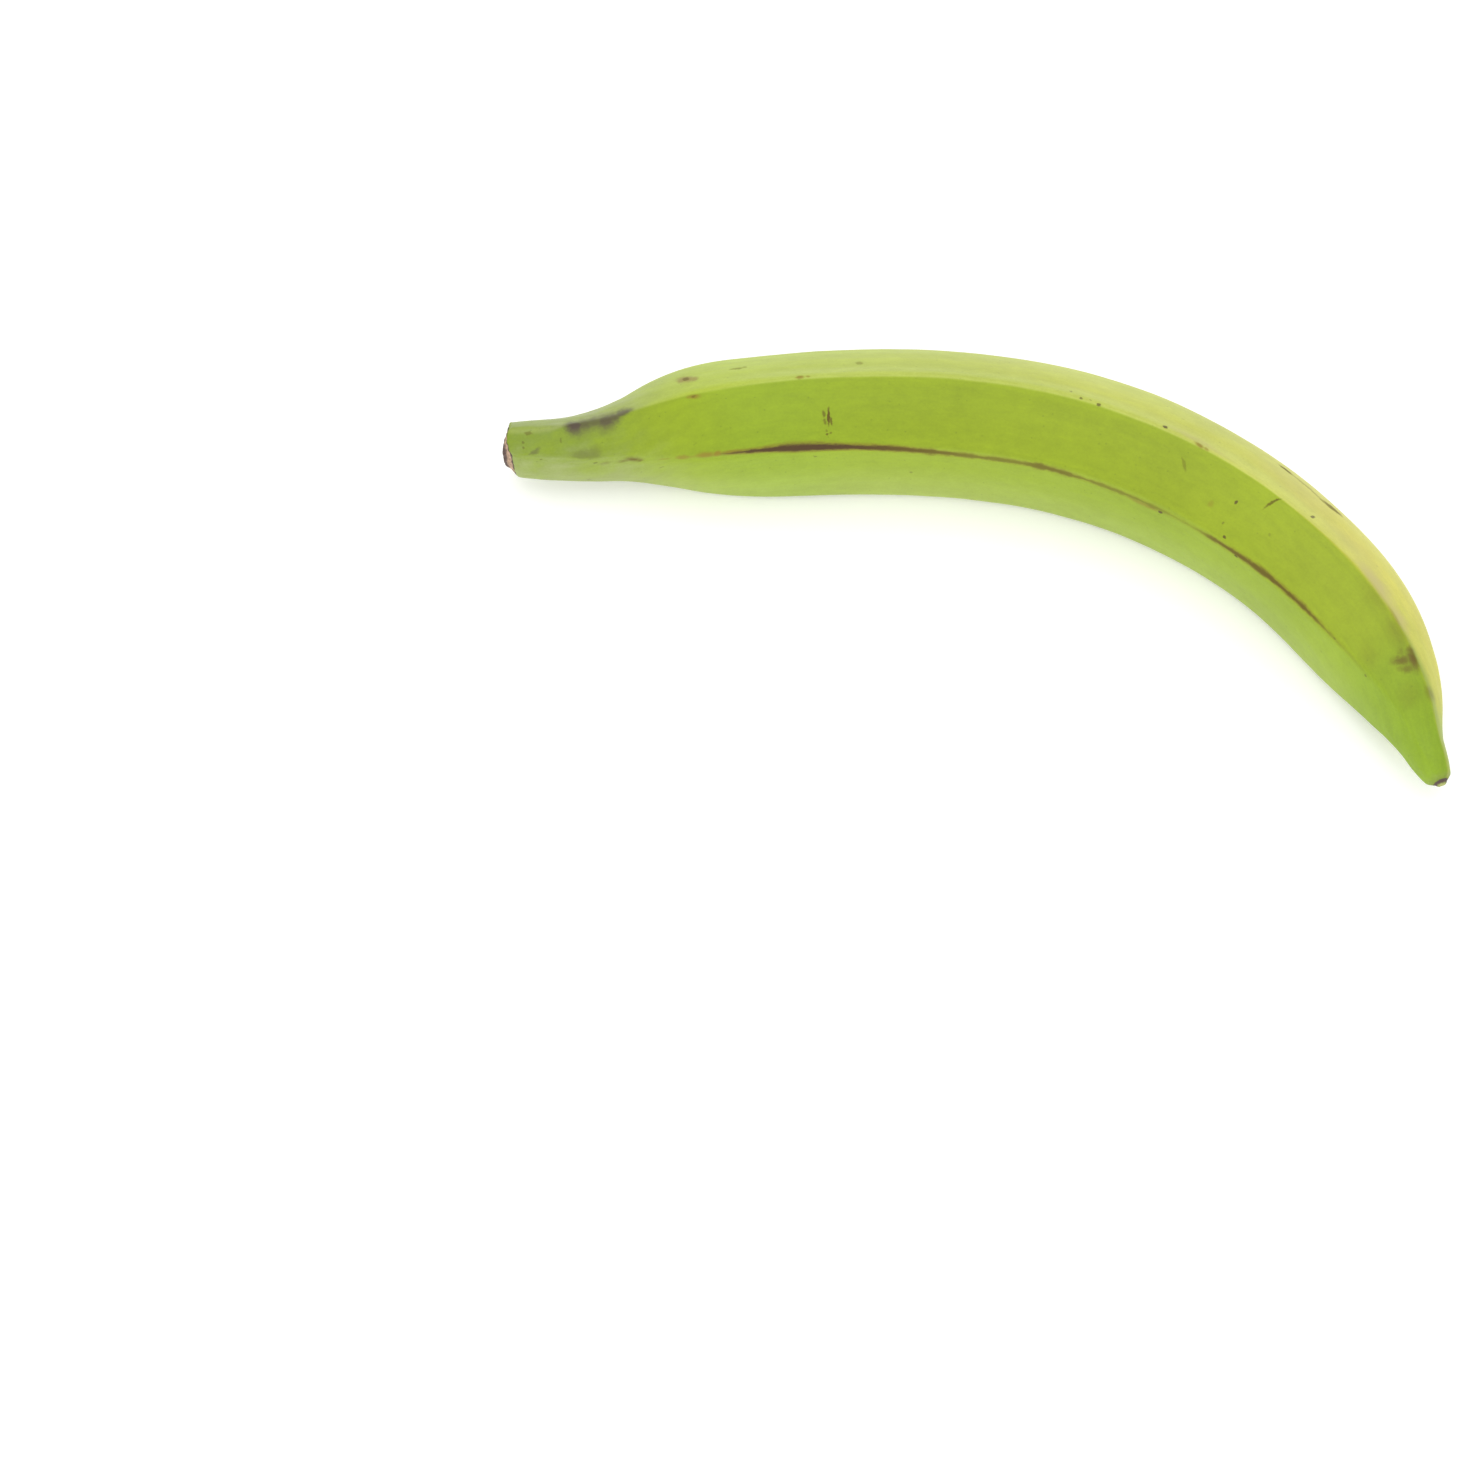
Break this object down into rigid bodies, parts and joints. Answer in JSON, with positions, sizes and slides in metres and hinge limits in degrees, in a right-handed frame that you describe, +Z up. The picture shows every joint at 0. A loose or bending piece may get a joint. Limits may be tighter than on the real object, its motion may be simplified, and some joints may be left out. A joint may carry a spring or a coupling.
{
  "type": "plantain",
  "caption": "Green cooking plantain: a long curved fruit with a ridged peel, a cut stalk at one end and a tapered, beaked tip at the other, lying on its side.",
  "frame": {"origin": "on the surface that the fruit lies on, under the middle of its bounding box", "axes": "+X along the chord of the bend from the cut stalk to the tip, +Y to the outer side of the bend, +Z up"},
  "size_m": [0.2956, 0.0902, 0.0405],
  "materials": {
    "peel": "waxy satin green peel with brown scars and specks"
  },
  "bodies": {
    "root": {"plantain_fruit": "peel"}
  },
  "joints": []
}
